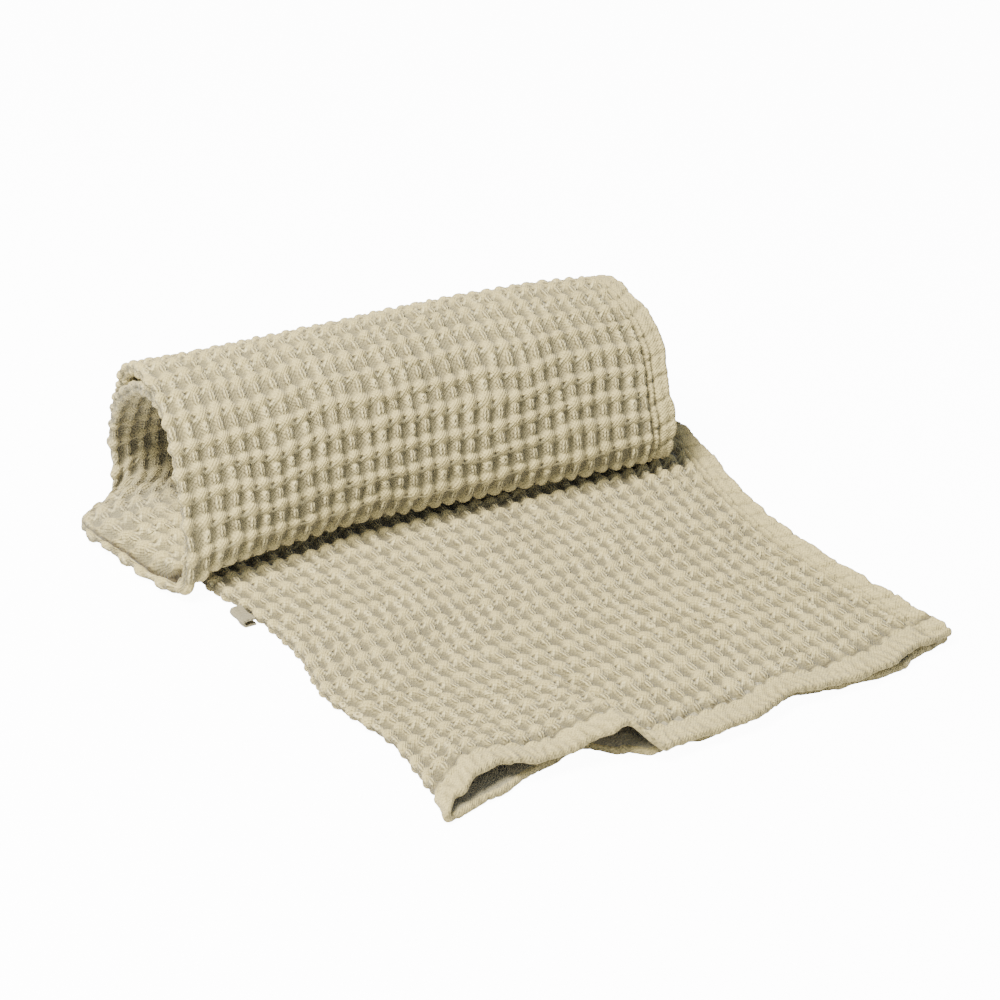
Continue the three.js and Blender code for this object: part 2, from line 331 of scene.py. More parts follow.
def plateau(distance, reach, power):  # one over the middle, falling off round the reach
    return np.exp(-np.abs(distance / reach) ** power)


def roundRim(place, start, end):  # past an end the cloth turns round its rim and comes back behind
    beyond = np.maximum(0, np.maximum(start - place, place - end))
    turn = np.minimum(beyond / cloth["rimRadius"], math.pi)
    back = np.maximum(0, beyond - rimEnd)
    side = np.where(place < start, -1.0, 1.0)
    return np.clip(place, start, end) - side * back, turn, side


def clothPoints(length, width, relief):  # width above zero on the upper ply, relief outwards
    rowStep, acrossStep = 0.05, 2.0               # for the directions along and across
    length, turnAlong, endSide = roundRim(length, 0, cloth["length"])
    halfWidth, turnAcross, _ = roundRim(np.abs(width), -1, cloth["foldedWidth"])
    row = rowAt(length)
    ply = np.where(width < 0, -1.0, 1.0)
    bend = math.pi / 2 * foldRadius
    angle = np.minimum(halfWidth, bend) / foldRadius
    across = foldRadius * (1 - np.cos(angle)) + np.maximum(0, halfWidth - bend)
    ahead = middleAt(np.minimum(row + rowStep, lastRow), across)
    along = unit(ahead - middleAt(np.maximum(row - rowStep, 0), across))
    side = middleAt(row, across + acrossStep) - middleAt(row, np.maximum(0, across - acrossStep))
    side = unit(side)
    up = unit(np.cross(side, along))
    sine = (ply * np.sin(angle))[None, :, None]
    outward = side * -np.cos(angle)[None, :, None] + up * sine
    # around the rim
    turn = np.minimum(np.hypot(turnAlong[:, None], turnAcross[None, :]), math.pi)
    rim = along * (turnAlong * endSide)[:, None, None] + side * turnAcross[None, :, None]
    rim = unit(rim) * (np.sin(turn) * cloth["rimRadius"])[..., None]
    off = np.where(turn > 0, cloth["rimRadius"] * np.cos(turn) + relief, relief)
    point = middleAt(row, across) + up * sine * foldRadius + outward * off[..., None] + rim
    # the wavy edges
    near = smooth(1 - np.abs(length) / hems["front"])
    wave = unevenness(7, width * 0.11, 0 * width)
    shift = cloth["edgeWave"] * near[:, None] * wave[None, :]
    point = point - along * shift[..., None]
    near = smooth(1 - (cloth["foldedWidth"] - halfWidth) / hems["side"])
    wave = unevenness(7, length * 0.1, 0 * length + 9)
    shift = cloth["edgeWave"] * near[None, :] * wave[:, None]
    point = point + side * shift[..., None]
    # the uneven front hems
    flat = (row < cloth["heelRow"])[:, None]
    back = np.maximum(0, point[..., 1] - windings[0, 0])
    evened = smooth(1 - back / cloth["hemReach"]) * flat
    forward = np.where(ply > 0, eased(upperHem, 1, across), eased(lowerHem, 1, across))
    point[..., 1] -= forward[None, :] * evened
    reach = eased(upperHem, 3, across)[None, :]
    lift = (eased(upperHem, 2, across) * (ply > 0) * np.sin(angle))[None, :]
    point[..., 2] += lift * smooth(1 - back / reach) * flat
    return point


# Creases pressed into the cloth: length and width at both ends, their reach and depth
creases = np.array([
    (808, 1.5, 796, 5.5, 1.6, 3.6),   # along the fold and across the foot of the roll
    (796, 5.5, 784, 5.5, 1.9, 4.0),
    (784, 5.5, 744, 5, 2.1, 4.4),
    (744, 5, 731, 7, 2.3, 5.2),
    (731, 7, 725, 12, 2.8, 6.2),
    (725, 12, 717, 20, 3.4, 6.6),
    (10, 132, 40, 129, 3.0, 2.6),     # back from the pocket
    (40, 129, 84, 124, 3.4, 1.6),
    (84, 124, 230, 119, 4.0, 0.5),
], dtype=float)
# Ridges pushed out, in the same columns
swellings = np.array([
    (733, 15, 741, 15, 7.0, 2.6),     # over the foot's crease
    (814, -2, 772, -2, 3.6, 1.5),     # the fold's lower lip, under the crease
    (772, -2, 742, -2.5, 3.8, 3.4),
    (742, -2.5, 722, -1.5, 3.8, 3.0),
], dtype=float)


def besideLine(w, s, length, width, toLength, toWidth):
    aheadS, aheadW = toLength - length, toWidth - width
    t = ((s - length) * aheadS + (w - width) * aheadW) / (aheadS ** 2 + aheadW ** 2)
    t = np.clip(t, 0, 1)
    return np.hypot(s - length - t * aheadS, w - width - t * aheadW)


def creasesAndRidges(w, s):
    depth, rise = np.zeros_like(w), np.zeros_like(w)
    for *line, reach, deep in creases:
        depth = np.maximum(depth, deep * plateau(besideLine(w, s, *line), reach, 2))
    for *line, reach, high in swellings:
        rise = np.maximum(rise, high * plateau(besideLine(w, s, *line), reach, 2.5))
    return depth, rise


def superEllipse(x, y, power):  # distance from the middle, one on the rim
    return (np.abs(x) ** power + np.abs(y) ** power) ** (1 / power)


def cellPlaces(w, s):  # counted in cells: pits lie at whole u, bands at whole v
    u = w / weave["cellAcross"]
    v = (s - hems["front"]) / weave["cellAlong"]
    drift = weave["driftAcross"] * unevenness(0, u * 0.35, v * 0.35)
    jitter = weave["jitterAcross"] * unevenness(1, u * 1.3, v * 1.3)
    u = u + drift + jitter
    drift = weave["driftAlong"] * unevenness(2, u * 0.3, v * 0.4)
    jitter = weave["jitterAlong"] * unevenness(3, u * 1.2, v * 1.4)
    return u, v + drift + jitter


def cellRise(u, v):  # of knobs, bands, bowls and floats, over the pits' floor
    fromRidge = (u - np.floor(u) - 0.5) * weave["cellAcross"]
    fromBand = (v - np.round(v)) * weave["cellAlong"]
    fromMiddle = (v - np.floor(v) - 0.5) * weave["cellAlong"]
    size = 1 + weave["sizeSpread"] * unevenness(4, u * 0.9, v * 0.9)
    fromKnob = superEllipse(
        fromRidge / weave["knobAcross"], fromBand / weave["knobAlong"], weave["knobCorner"])
    fromFloat = superEllipse(
        fromRidge / weave["floatAcross"], fromMiddle / weave["floatAlong"], 3)
    knob = weave["knobRise"] * plateau(fromKnob, size, 2.8)
    band = weave["bandRise"] * plateau(fromBand, weave["bandAlong"] * size, 3)
    bowl = weave["bowlRise"] * plateau(fromBand, weave["bowlAlong"], 2)
    floating = weave["floatRise"] * plateau(fromFloat, size, 4.5)
    rise = (knob ** 6 + band ** 6 + bowl ** 6 + floating ** 6) ** (1 / 6)
    return rise * (1 + weave["riseSpread"] * unevenness(5, u * 0.7, v * 0.7))


def frontGathers(w, s):  # where stitches draw the front hem together
    gather = w / hems["gatherSpacing"] + 0.5 * unevenness(4, w * 0.11, s * 0.06)
    gather = plateau(gather - np.round(gather), hems["gatherReach"], 2)
    gather *= smooth(1.25 - np.abs(s - 2) / 12)
    return gather * (0.7 + 0.5 * unevenness(2, w * 0.23, s * 0.1))


def sideDents(v, fromSide):  # where a thread slants over a side hem, once a cell
    slant = v - 0.28 - 0.03 * fromSide + 0.06 * unevenness(1, v * 1.7, 0 * v)
    return plateau(slant - np.round(slant), hems["dentReach"], 2)


def sidePadding(v, fromSide, edge, lumps):  # beads, seam and padded edge
    bead = plateau(fromSide - hems["beadFromRim"], hems["beadReach"], 3)
    bead *= 0.6 + 0.4 * np.cos(4 * math.pi * v) ** 2
    pad = plateau(fromSide - hems["padFromRim"], hems["padReach"], 4) * (1 - edge)
    seam = plateau(fromSide - hems["seamFromRim"], hems["seamReach"], 2)
    base = hems["padBase"]
    padded = base + (hems["rise"] - base) * np.maximum(bead, pad) + hems["padLumps"] * lumps
    return padded - hems["seamDepth"] * seam, seam


def honeycomb(width, length):  # relief (n, m) outwards, cell places, marks for the material
    w, s = np.meshgrid(width, length)
    rim = cloth["rimRadius"]
    wide, long = cloth["foldedWidth"], cloth["length"]
    fromEnds = np.minimum(np.abs(s), np.abs(long - s))
    fromSide = np.abs(wide - np.abs(w))
    inBack = (s < -rimEnd) | (s > long + rimEnd) | (np.abs(w) > wide + rimEnd)
    inRim = ((s < 0) | (s > long) | (np.abs(w) > wide)) & ~inBack
    u, v = cellPlaces(w, s)
    rise = cellRise(u, v)
    puff = weave["puffedPlace"]
    press = 1 - weave["pressed"] * smooth((weave["laidTo"] - s) / 160)
    press += weave["puffed"] * smooth((w - puff) / 25) * plateau(s - puff, 42, 3)
    cells = (weave["pit"] + rise) * press
    # the hems
    front = smooth((hems["front"] + hems["join"] - fromEnds) / (2 * hems["join"]))
    side = smooth((hems["side"] + hems["join"] - fromSide) / (2 * hems["join"]))
    hem = np.maximum(front, side)
    inFront = front > side
    fromRim = np.where(inFront, fromEnds, fromSide)
    place = np.where(inFront, w, s)
    lumps = hems["lumps"] * unevenness(6, place * 0.17, fromRim * 0.2)
    lumps += hems["fineLumps"] * unevenness(7, place * 0.4, fromRim * 0.35)
    edge = smooth(1 - fromRim / hems["edge"])
    gather = frontGathers(w, s) * inFront
    slant = sideDents(v, fromSide) * ~inFront
    padded, seam = sidePadding(v, fromSide, edge, lumps)
    rolledHem = hems["rise"] * (1 - 0.75 * smooth((fromEnds - 6) / 8)) + lumps
    dent = hems["dentDepth"] * (0.75 + 0.4 * unevenness(2, v * 1.3, w * 0.1)) * slant
    dent = dent + hems["gatherDepth"] * gather
    plain = np.where(inFront, rolledHem, padded) * (1 - edge) + rim * edge - dent
    groove = 0.6 * plateau(fromEnds - hems["front"] - 3.5, 2.6, 3)
    groove = np.maximum(groove, plateau(fromSide - hems["side"], 1.3, 2))
    groove *= hems["grooveDepth"] + hems["grooveSpread"] * unevenness(5, w * 0.21, s * 0.21)
    relief = np.maximum(cells * (1 - hem) + plain * hem - groove, weave["pit"])
    # round the rim and behind it
    relief = np.where(inRim, lumps - 0.6 * dent, relief)
    backRise = (weave["backKnob"] - weave["backPit"]) * rise / weave["knobRise"]
    back = (weave["backPit"] + backRise) * (1 - hem) + (0.5 * lumps - 0.5 * dent) * hem
    relief = np.where(inBack, back, relief)
    # marks for the material, from 0 to 1
    # painted shade: the lower the cloth (pit floors, the groove behind the hems, the side hems'
    # dents and seam), the more it takes the darker pit colour; back faces get a fixed middle value
    heightShade = smooth((rise - 0.4) / 3.2) * (1 - hem) + (0.9 + 0.1 * relief) * hem
    heightShade = np.where(inRim, 0.9 + 0.2 * relief, heightShade) - 0.3 * groove
    heightShade -= (0.4 * slant + 0.4 * seam * (side > front)) * hem
    heightShade = np.clip(np.where(inBack, 0.75, heightShade), 0, 1.1)
    depth, swelling = creasesAndRidges(w, s)
    relief = relief + np.where(inRim | inBack, 0, swelling - depth)
    # where rim stitches dent the cloth; the material bumps the dents and darkens them as painted
    # shadow
    rimReach = np.where(s < 0, hems["rimReachBehind"], hems["rimReach"])
    frontRim = 0.7 * smooth(1.3 - fromEnds / rimReach) * inFront
    sideRim = 0.4 * smooth(1.2 - fromSide / hems["sideRimReach"]) * ~inFront
    sideRim += plateau(w - 1, 6, 3) * plateau(s - hems["crimpPlace"], hems["crimpReach"], 4)
    # painted shadow: along the creases, in a trench behind the front hem, at the front hem's
    # gathers and in the pits of the laid-flat end
    trench = plateau(fromEnds - hems["front"] - hems["trenchFromHem"], hems["trenchReach"], 2)
    trench *= (1 - inBack) * (0.6 + 0.35 * unevenness(3, w * 0.13, s * 0.2))
    laidPits = smooth((weave["laidTo"] - s) / 60) * (1 - inBack) * np.clip(1 - heightShade, 0, 1) ** 2
    creaseShade = np.clip(depth / 3.4, 0, 1) ** 1.5
    for mark in (trench, 0.5 * gather, 0.25 * laidPits):
        creaseShade = np.maximum(creaseShade, mark)
    # painted shade on the back faces and, weaker, deep inside the roll
    hiddenShade = np.where(inBack, 1, 0.4 * smooth((s - weave["hiddenFrom"]) / 30))
    return relief, u, v, {"heightShade": heightShade, "hemBand": hem, "frontRim": frontRim,
                          "sideRim": sideRim, "creaseShade": creaseShade, "hiddenShade": hiddenShade}


def makeMesh(name, points, cells, marks):  # a grid (n, m, 3) in layout millimetres
    n, m = points.shape[:2]
    moved = points - np.array([cloth["middleX"], cloth["middleY"], 0])
    moved[..., 2] = np.maximum(moved[..., 2], cloth["lowest"])
    index = np.arange(n * m).reshape(n, m)
    quads = np.stack([index[:-1, :-1], index[:-1, 1:], index[1:, 1:], index[1:, :-1]], axis=-1)
    quads = quads.reshape(-1, 4)
    flatPoints = moved.reshape(-1, 3)
    corners = flatPoints[quads]
    diagonals = corners[:, 2] - corners[:, 0], corners[:, 3] - corners[:, 1]
    area = np.linalg.norm(np.cross(*diagonals), axis=1)
    quads = quads[area > 1e-3]                    # the rim's corners come to a point
    used, quads = np.unique(quads, return_inverse=True)
    quads = quads.reshape(-1, 4)
    mesh = bpy.data.meshes.new(name)
    mesh.vertices.add(len(used))
    mesh.vertices.foreach_set("co", (flatPoints[used] / 1000).astype(np.float32).ravel())
    mesh.loops.add(quads.size)
    mesh.loops.foreach_set("vertex_index", quads.astype(np.int32).ravel())
    mesh.polygons.add(len(quads))
    mesh.polygons.foreach_set("loop_start", np.arange(0, quads.size, 4, dtype=np.int32))
    mesh.update(calc_edges=True)
    mesh.polygons.foreach_set("use_smooth", np.ones(len(quads), dtype=bool))
    uv = mesh.uv_layers.new(name="cells")
    places = cells.reshape(-1, 2)[used][quads.ravel()]
    uv.data.foreach_set("uv", places.astype(np.float32).ravel())
    for key, value in marks.items():
        layer = mesh.attributes.new(key, "FLOAT", "POINT")
        layer.data.foreach_set("value", value.ravel()[used].astype(np.float32))
    mesh.validate()
    piece = bpy.data.objects.new(name, mesh)
    bpy.context.scene.collection.objects.link(piece)
    return piece


def steps(*stops):  # places from stop to stop, each (end, spacing) after the first
    places = [np.array([stops[0]], dtype=float)]
    for end, spacing in stops[1:]:
        start = places[-1][-1]
        count = max(1, int(round(abs(end - start) / spacing)))
        places.append(np.linspace(start, end, count + 1)[1:])
    return np.concatenate(places)


# Each sheet's grid lines across and along the cloth, in millimetres
hemBack = hems["side"] + rimEnd + 6               # how far a sheet comes back behind a side hem
wide = cloth["foldedWidth"]
splitFree = hems["front"] + 9 * weave["cellAlong"]          # all three on the crest of a band
rollBack = hems["front"] + 33 * weave["cellAlong"]
splitRoll = hems["front"] + 39 * weave["cellAlong"]
rightRim = ((wide, 0.94), (wide + rimEnd, 1.1), (wide + hemBack, 2.5))
leftRim = ((-wide - rimEnd, 2.5), (-wide, 1.1))
frontRim = ((-rimEnd - 16, 2.6), (-rimEnd, 1.6), (0, 1.1))
endRim = ((cloth["length"] + rimEnd, 1.3), (cloth["length"] + 20, 3))
sheets = {
    "freeEndFront": {
        "across": steps(-22, *rightRim),
        "along": steps(-rimEnd - 90, *frontRim, (20, 0.86), (splitFree, 0.95)),
    },
    "freeEndBack": {
        "across": steps(-22, *rightRim),
        "along": steps(splitFree, (305, 0.95), (436, 6)),
    },
    "underside": {
        "across": steps(-wide - hemBack, *leftRim, (-22, 1.7)),
        "along": steps(-rimEnd - 90, *frontRim, (20, 1.4), (430, 3.1)),
    },
    "rollBack": {
        "across": steps(-wide - hemBack, *leftRim, (22, 1.3)),
        "along": steps(425, (rollBack, 1.3)),
    },
    "rollTop": {
        "across": steps(-wide - hemBack, *leftRim, (22, 0.88)),
        "along": steps(rollBack, (splitRoll, 0.86)),
    },
    "rollFront": {
        "across": steps(-wide - hemBack, *leftRim, (22, 0.88)),
        "along": steps(splitRoll, (738, 0.86), (780, 1.2)),
    },
    "rollLining": {
        "across": steps(20, (wide, 2.4), (wide + rimEnd, 1.3), (wide + hemBack, 2.5)),
        "along": steps(430, (765, 2.8)),
        "sink": 0.15,         # keeps it behind the sheet that it joins
    },
    "innerTurns": {
        "across": steps(-22, (90, 1.1), (wide, 3), (wide + rimEnd, 1.3), (wide + hemBack, 2.5)),
        "along": steps(765, (900, 1.15), (cloth["length"], 3), *endRim),
    },
    "innerTurnsBack": {
        "across": steps(-wide - hemBack, *leftRim, (-20, 2.8)),
        "along": steps(765, (cloth["length"], 3), *endRim),
        "sink": 0.15,
    },
}


def honeycombSheet(name, settings):
    across, along = settings["across"], settings["along"]
    relief, u, v, marks = honeycomb(across, along)
    points = clothPoints(along, across, relief - settings.get("sink", 0))
    piece = makeMesh(name, points, np.stack([u, v], axis=-1), marks)
    print(name, len(piece.data.polygons) * 2, "triangles")
    return piece


class Graph:  # short ways to place and join shader nodes
    def __init__(self, tree):
        self.nodes, self.links = tree.nodes, tree.links

    def put(self, kind, **values):
        node = self.nodes.new(kind)
        for key, value in values.items():
            setattr(node, key, value)
        return node

    def join(self, value, socket):
        if isinstance(value, bpy.types.NodeSocket):
            self.links.new(value, socket)
        else:
            socket.default_value = value

    def math(self, operation, *values, clamp=False):
        node = self.put("ShaderNodeMath", operation=operation, use_clamp=clamp)
        for value, socket in zip(values, node.inputs):
            self.join(value, socket)
        return node.outputs[0]

    def blend(self, kind, factor, a, b):
        node = self.put("ShaderNodeMix", data_type="RGBA", blend_type=kind)
        for value, socket in ((factor, node.inputs[0]), (a, node.inputs[6]), (b, node.inputs[7])):
            self.join(value, socket)
        return node.outputs[2]

    def noise(self, place, scale, detail=2.0, rough=0.5):
        node = self.put("ShaderNodeTexNoise")
        settings = {"Vector": place, "Scale": scale, "Detail": detail, "Roughness": rough}
        for key, value in settings.items():
            self.join(value, node.inputs[key])
        return node.outputs["Fac"]

    def chance(self, x, y):  # a random number for each cell
        node = self.put("ShaderNodeTexWhiteNoise", noise_dimensions="3D")
        self.join(self.together(x, y), node.inputs["Vector"])
        return node.outputs["Value"]

    def group(self, tree, **values):
        node = self.put("ShaderNodeGroup", node_tree=tree)
        for key, value in values.items():
            self.join(value, node.inputs[key])
        return node

    def mark(self, name):
        return self.put("ShaderNodeAttribute", attribute_name=name).outputs["Fac"]

    def objectPlace(self):
        return self.put("ShaderNodeTexCoord").outputs["Object"]

    def apart(self, vector):
        node = self.put("ShaderNodeSeparateXYZ")
        self.join(vector, node.inputs[0])
        return node.outputs[0], node.outputs[1]

    def together(self, x, y):
        node = self.put("ShaderNodeCombineXYZ")
        self.join(x, node.inputs[0])
        self.join(y, node.inputs[1])
        return node.outputs[0]

    def grey(self, value):
        node = self.put("ShaderNodeCombineColor")
        for socket in node.inputs:
            self.join(value, socket)
        return node.outputs[0]

    def bump(self, height, depth, shader):
        node = self.put("ShaderNodeBump")
        node.inputs["Strength"].default_value = 1.0
        node.inputs["Distance"].default_value = depth
        self.join(height, node.inputs["Height"])
        self.join(node.outputs[0], shader.inputs["Normal"])


def newGroup(name, takes, gives):
    tree = bpy.data.node_groups.new(name, "ShaderNodeTree")
    for key, kind, value in takes:
        socket = tree.interface.new_socket(name=key, in_out="INPUT", socket_type=kind)
        if value is not None:
            socket.default_value = value
    for key, kind in gives:
        tree.interface.new_socket(name=key, in_out="OUTPUT", socket_type=kind)
    graph = Graph(tree)
    return tree, graph, graph.put("NodeGroupInput"), graph.put("NodeGroupOutput")


def ellipse(g, x, y, reachX, reachY):  # distance from the middle, one on the rim
    a = g.math("DIVIDE", x, reachX)
    b = g.math("DIVIDE", y, reachY)
    return g.math("SQRT", g.math("ADD", g.math("MULTIPLY", a, a), g.math("MULTIPLY", b, b)))


def loopThread(g, distance):  # one round thread between the middle and the rim of an ellipse
    wave = g.math("COSINE", g.math("MULTIPLY", distance, 2 * math.pi))
    ring = g.math("SUBTRACT", 0.5, g.math("MULTIPLY", wave, 0.5))
    return g.math("MULTIPLY", ring, g.math("LESS_THAN", distance, 1.0))


def floatStrands(g, x, y, reachX, reachY):  # lengthwise strands, drawn together at both ends
    y = g.math("DIVIDE", y, reachY)
    y = g.math("MULTIPLY", y, y)
    x = g.math("DIVIDE", g.math("DIVIDE", x, reachX), g.math("MULTIPLY_ADD", y, -0.6, 1.0))
    inside = g.math("MULTIPLY", g.math("SUBTRACT", 1.0, g.math("MULTIPLY", y, y), clamp=True),
                    g.math("LESS_THAN", g.math("ABSOLUTE", x), 1.0))
    wave = g.math("SINE", g.math("MULTIPLY", x, 1.12 * math.pi))
    strands = g.math("MULTIPLY", g.math("MULTIPLY", wave, wave), inside)
    return strands, g.math("SUBTRACT", inside, strands, clamp=True)


# The grain of the threads, with scales in waves to a metre
grain = {
    "fineScale": 900.0,
    "fineRough": 0.8,
    "softScale": 260.0,
    "softRough": 0.6,
    "weaveTone": 0.09,
}


def plainWeaveGroup():  # thread grain and fuzz of plain-woven cotton
    tree, g, takes, gives = newGroup(
        "plainWeave",
        [("Cells", "NodeSocketVector", None), ("Threads Across", "NodeSocketFloat", 10.0),
         ("Threads Along", "NodeSocketFloat", 13.0), ("Fuzz", "NodeSocketFloat", 0.5)],
        [("Height", "NodeSocketFloat"), ("Shade", "NodeSocketFloat")],
    )
    across, along = g.apart(takes.outputs["Cells"])
    across = g.math("MULTIPLY", across, takes.outputs["Threads Across"])
    along = g.math("MULTIPLY", along, takes.outputs["Threads Along"])
    across = g.math("SINE", g.math("MULTIPLY", across, math.pi))
    over = g.math("MULTIPLY", across, g.math("SINE", g.math("MULTIPLY", along, math.pi)))
    place = g.objectPlace()
    fine = g.noise(place, grain["fineScale"], 1.0, grain["fineRough"])
    soft = g.noise(place, grain["softScale"], 2.0, grain["softRough"])
    fuzz = g.math("MULTIPLY", g.math("ADD", fine, soft), takes.outputs["Fuzz"])
    height = g.math("ADD", g.math("MULTIPLY_ADD", over, 0.5, 0.5), fuzz)
    g.join(height, gives.inputs["Height"])
    g.join(g.math("MULTIPLY_ADD", over, grain["weaveTone"], fine), gives.inputs["Shade"])
    return tree


def rimStitchGroup():  # short threads drawn over a rim, once round each
    tree, g, takes, gives = newGroup(
        "rimStitches",
        [("Along", "NodeSocketFloat", 0.0), ("Turns", "NodeSocketFloat", 4.0),
         ("Near", "NodeSocketFloat", 0.0)],
        [("Dent", "NodeSocketFloat")],
    )
    turns = g.math("MULTIPLY", takes.outputs["Along"], takes.outputs["Turns"])
    wave = g.math("COSINE", g.math("MULTIPLY", turns, 2 * math.pi))
    wave = g.math("MULTIPLY_ADD", wave, 0.5, 0.5)
    line = g.math("MULTIPLY", wave, g.math("MULTIPLY", wave, wave))
    uneven = g.math("MULTIPLY_ADD", g.noise(g.objectPlace(), 90.0), 1.6, -0.1, clamp=True)
    line = g.math("MULTIPLY", g.math("MULTIPLY", line, uneven), takes.outputs["Near"])
    g.join(line, gives.inputs["Dent"])
    return tree


# Half sizes of the thread marks in millimetres, across and along the cloth
threadMarks = {
    "float": (2.5, 4.3),
    "ring": (2.7, 4.2),
    "ringChance": 0.75,       # floats with a higher chance are spread to a ring round a hole
    "tip": (3.6, 3.6),
    "tipFromBand": 1.4,
    "notch": (2.1, 1.25),
    "notchBeforeTip": 0.1,
}


def honeycombGroup():  # floating threads on the ridges, thread tips at the pits' far edges
    tree, g, takes, gives = newGroup(
        "honeycombThreads",
        [("Cells", "NodeSocketVector", None), ("Cell Across", "NodeSocketFloat", 10.6),
         ("Cell Along", "NodeSocketFloat", 15.5)],
        [("Floats", "NodeSocketFloat"), ("Slits", "NodeSocketFloat"), ("Tips", "NodeSocketFloat"),
         ("Notches", "NodeSocketFloat")],
    )
    u, v = g.apart(takes.outputs["Cells"])
    wide, long = takes.outputs["Cell Across"], takes.outputs["Cell Along"]
    ridge = g.math("MULTIPLY", g.math("SUBTRACT", g.math("FRACT", u), 0.5), wide)
    middle = g.math("MULTIPLY", g.math("SUBTRACT", g.math("FRACT", v), 0.5), long)
    floatChance = g.chance(g.math("FLOOR", u), g.math("FLOOR", v))
    ridge = g.math("ADD", ridge, g.math("SUBTRACT", floatChance, 0.5))
    # the material draws the floats' strands and rings in a brighter colour, a painted highlight on
    # real threads; the gaps between strands and a ring's hole are drawn dark, painted shadow
    floats, slits = floatStrands(g, ridge, middle, *threadMarks["float"])
    spread = g.math("GREATER_THAN", floatChance, threadMarks["ringChance"])
    fromFloat = ellipse(g, ridge, middle, *threadMarks["ring"])
    hole = g.math("MULTIPLY_ADD", fromFloat, -3.4, 1.25, clamp=True)
    ring = loopThread(g, fromFloat)
    floats = g.math("MULTIPLY_ADD", spread, g.math("SUBTRACT", ring, floats), floats)
    slits = g.math("MULTIPLY_ADD", spread, g.math("SUBTRACT", hole, slits), slits)
    # the far edges of the pits, which are on the other side on the lower ply
    pit = g.math("MULTIPLY", g.math("SUBTRACT", u, g.math("ROUND", u)), wide)
    band = g.math("MULTIPLY", g.math("SUBTRACT", v, g.math("ROUND", v)), long)
    facing = g.math("MULTIPLY_ADD", g.math("GREATER_THAN", u, 0.0), -2.0, 1.0)
    intoPit = g.math("SUBTRACT", g.math("MULTIPLY", band, facing), threadMarks["tipFromBand"])
    # a tip is a thread loop drawn brighter, a painted highlight; the notch next to it is a hole
    # drawn dark, painted shadow
    loop = loopThread(g, ellipse(g, pit, intoPit, *threadMarks["tip"]))
    tips = g.math("MULTIPLY", loop, g.math("MULTIPLY_ADD", intoPit, 1.2, 0.5, clamp=True))
    intoNotch = g.math("ADD", intoPit, threadMarks["notchBeforeTip"])
    dark = g.math("SUBTRACT", 1.0, ellipse(g, pit, intoNotch, *threadMarks["notch"]), clamp=True)
    notches = g.math("MULTIPLY", dark, 1.3, clamp=True)
    tipChance = g.chance(g.math("ROUND", u), g.math("ROUND", v))
    shown = g.math("MULTIPLY_ADD", tipChance, 1.4, 0.2, clamp=True)
    g.join(floats, gives.inputs["Floats"])
    g.join(slits, gives.inputs["Slits"])
    g.join(g.math("MULTIPLY", tips, shown), gives.inputs["Tips"])
    g.join(g.math("MULTIPLY", notches, shown), gives.inputs["Notches"])
    return tree


plainWeave = plainWeaveGroup()
rimStitches = rimStitchGroup()
honeycombThreads = honeycombGroup()

cottonLook = {
    # the pit colour is painted shade, the thread colour a painted highlight, the notch colour
    # painted shadow
    "pitShadeColour": (0.35, 0.295, 0.148, 1),
    "knobColour": (0.80, 0.65, 0.28, 1),
    "threadHighlightColour": (1.0, 0.85, 0.42, 1),
    "paintedShadowColour": (0.10, 0.08, 0.045, 1),
    "hiddenShadeColour": (0.36, 0.34, 0.26, 1),     # painted shade inside the pocket and the roll
    "bounceColour": (0.50, 0.485, 0.44, 1),    # what one part of the cloth throws on another
    "floats": 0.75,           # how strongly each mark colours the cloth: painted highlights on floats and tips, painted shadow for the others
    "slits": 0.65,
    "notches": 0.8,
    "tips": 0.95,
    "dents": 0.42,
    "creases": 0.95,
    "hiddenShade": 0.6,
    "frontStitches": 2.1,     # to a cell
    "sideStitches": 4.7,
    "sideDents": 0.8,         # against those at the front
    "patchScale": 14.0,
    "patchTone": 0.16,
    "threadTone": 1.1,
    "bumpDepth": 0.0011,
    "weaveBump": 0.55,        # shares of that depth
    "hemBump": -0.1,          # added to it on the hems
    "threadBump": 0.6,
    "dentBump": 0.9,
    "roughness": 0.95,
    "specular": 0.2,
    "sheen": 0.2,
}


